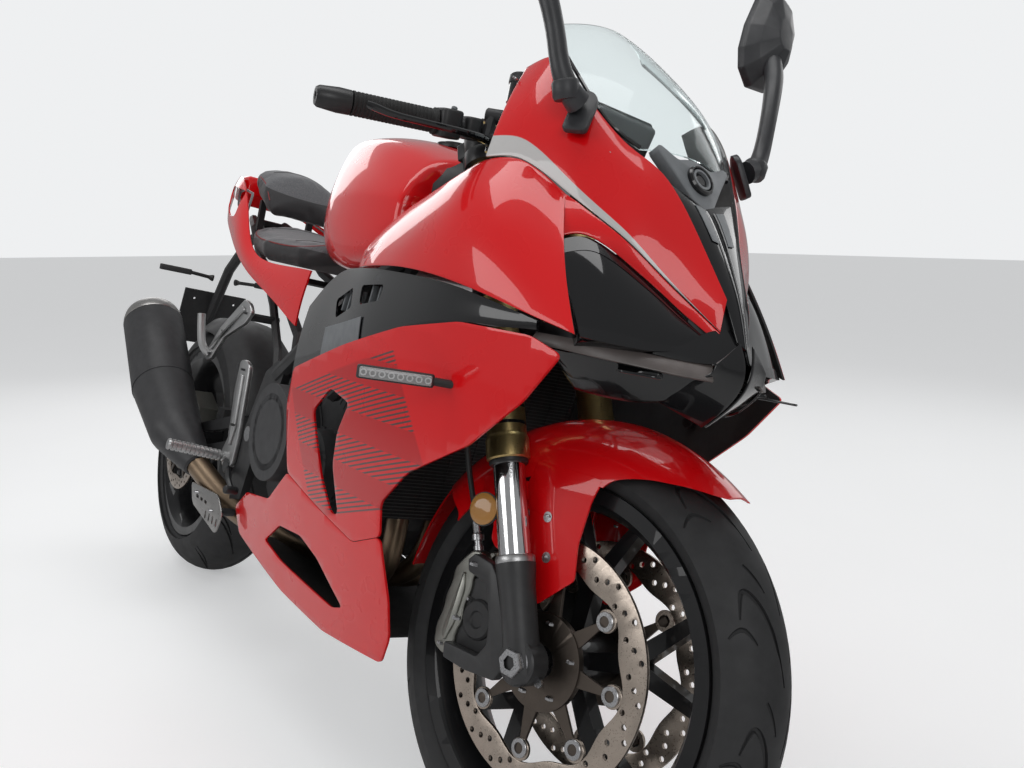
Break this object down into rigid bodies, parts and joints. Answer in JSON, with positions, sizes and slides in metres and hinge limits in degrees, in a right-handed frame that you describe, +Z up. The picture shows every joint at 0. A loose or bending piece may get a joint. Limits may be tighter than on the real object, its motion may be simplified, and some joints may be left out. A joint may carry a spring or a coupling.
{
  "type": "sport bike",
  "caption": "Faired two-wheeler with clip-on bars, twin front discs, turning wheels and steering, folding side stand and hinged tank cap.",
  "frame": {"origin": "on the ground under the middle of the parked bike", "axes": "+X forward, +Y to the rider's left, +Z up; the bike leans to +Y on its side stand"},
  "size_m": [2.028, 0.7814, 1.3471],
  "materials": {
    "tyre_rubber": "black rubber",
    "wheel_black": "satin black paint",
    "rotor_steel": "brushed, slightly browned",
    "carrier_black": "black anodised",
    "steel_parts": "machined",
    "fork_charcoal": "satin charcoal",
    "chrome_tube": "hard chrome",
    "gold_tube": "gold anodised",
    "black_alloy": "satin black",
    "grip_rubber": "matt",
    "control_black": "matt black",
    "caliper_grey": "gunmetal",
    "hose_black": "black",
    "red_paint": "glossy red lacquer",
    "frame_black": "satin black",
    "engine_dark": "dark grey casting",
    "header_bronze": "heat tinted steel",
    "muffler_black": "satin black",
    "chain_steel": "oiled steel",
    "black_plastic": "matt black",
    "radiator_black": "finned core",
    "cap_black": "black with machined ring",
    "seat_cover": "grey vinyl",
    "lamp_red": "red lens",
    "lens_smoked": "dark smoked lens",
    "gloss_black": "gloss black",
    "screen_clear": "pale tinted clear plastic",
    "mirror_black": "satin dark grey",
    "signal_clear": "clear lamp on black stem",
    "cast_silver": "silver cast"
  },
  "bodies": {
    "chassis": {"airbox_cover": "black_plastic", "belly_pan": "red_paint", "chain": "chain_steel", "engine_block": "engine_dark", "exhaust_headers": "header_bronze", "footrests": "cast_silver", "fuel_tank": "red_paint", "headlights": "lens_smoked", "instrument_panel": "gloss_black", "main_frame": "frame_black", "mid_trim": "gloss_black", "mirrors": "mirror_black", "muffler": "muffler_black", "nose_centre": "gloss_black", "pillion_seat": "seat_cover", "plate_hanger": "black_plastic", "radiator": "radiator_black", "rear_axle_and_pivot": "steel_parts", "rear_caliper": "caliper_grey", "rear_hugger": "black_plastic", "rider_seat": "seat_cover", "shock_absorber": "steel_parts", "side_fairings": "red_paint", "subframe": "frame_black", "swingarm": "frame_black", "tail_fairing": "red_paint", "tail_light": "lamp_red", "turn_signals": "signal_clear", "upper_fairing": "red_paint", "windscreen": "screen_clear"},
    "steering": {"fork_bottoms": "fork_charcoal", "fork_stanchions": "chrome_tube", "fork_outer_tubes": "gold_tube", "front_axle": "steel_parts", "yokes": "black_alloy", "handlebars": "black_alloy", "grips": "grip_rubber", "hand_controls": "control_black", "front_calipers": "caliper_grey", "brake_hoses": "hose_black", "front_fender": "red_paint"},
    "front_wheel": {"front_tyre": "tyre_rubber", "front_rim": "wheel_black", "front_discs": "rotor_steel", "disc_carriers": "carrier_black"},
    "rear_wheel": {"rear_tyre": "tyre_rubber", "rear_rim": "wheel_black", "rear_disc_and_sprocket": "rotor_steel"},
    "side_stand": {"side_stand": "frame_black"},
    "filler_cap": {"filler_cap": "cap_black"}
  },
  "joints": [
    {"name": "steering_turn", "type": "hinge", "parent": "chassis", "child": "steering", "pos_m": [0.69147, -0.14031, 0.2786], "axis": [-0.4122, 0.2047, 0.8878], "range_deg": [-36, 14]},
    {"name": "front_wheel_spin", "type": "hinge", "parent": "steering", "child": "front_wheel", "pos_m": [0.7183, -0.13199, 0.28914], "axis": [-0.1745, 0.9387, -0.2974], "continuous": true},
    {"name": "rear_wheel_spin", "type": "hinge", "parent": "chassis", "child": "rear_wheel", "pos_m": [-0.70115, -0.13414, 0.30918], "axis": [-0.0006, 0.9744, -0.225], "continuous": true},
    {"name": "side_stand_fold", "type": "hinge", "parent": "chassis", "child": "side_stand", "pos_m": [-0.1613, 0.033, 0.25371], "axis": [0.2734, 0.9452, 0.1785], "range_deg": [0, 100]},
    {"name": "filler_cap_lid", "type": "hinge", "parent": "chassis", "child": "filler_cap", "pos_m": [0.22274, 0.02445, 0.99357], "axis": [-0.0006, 0.9744, -0.225], "range_deg": [0, 95]}
  ]
}
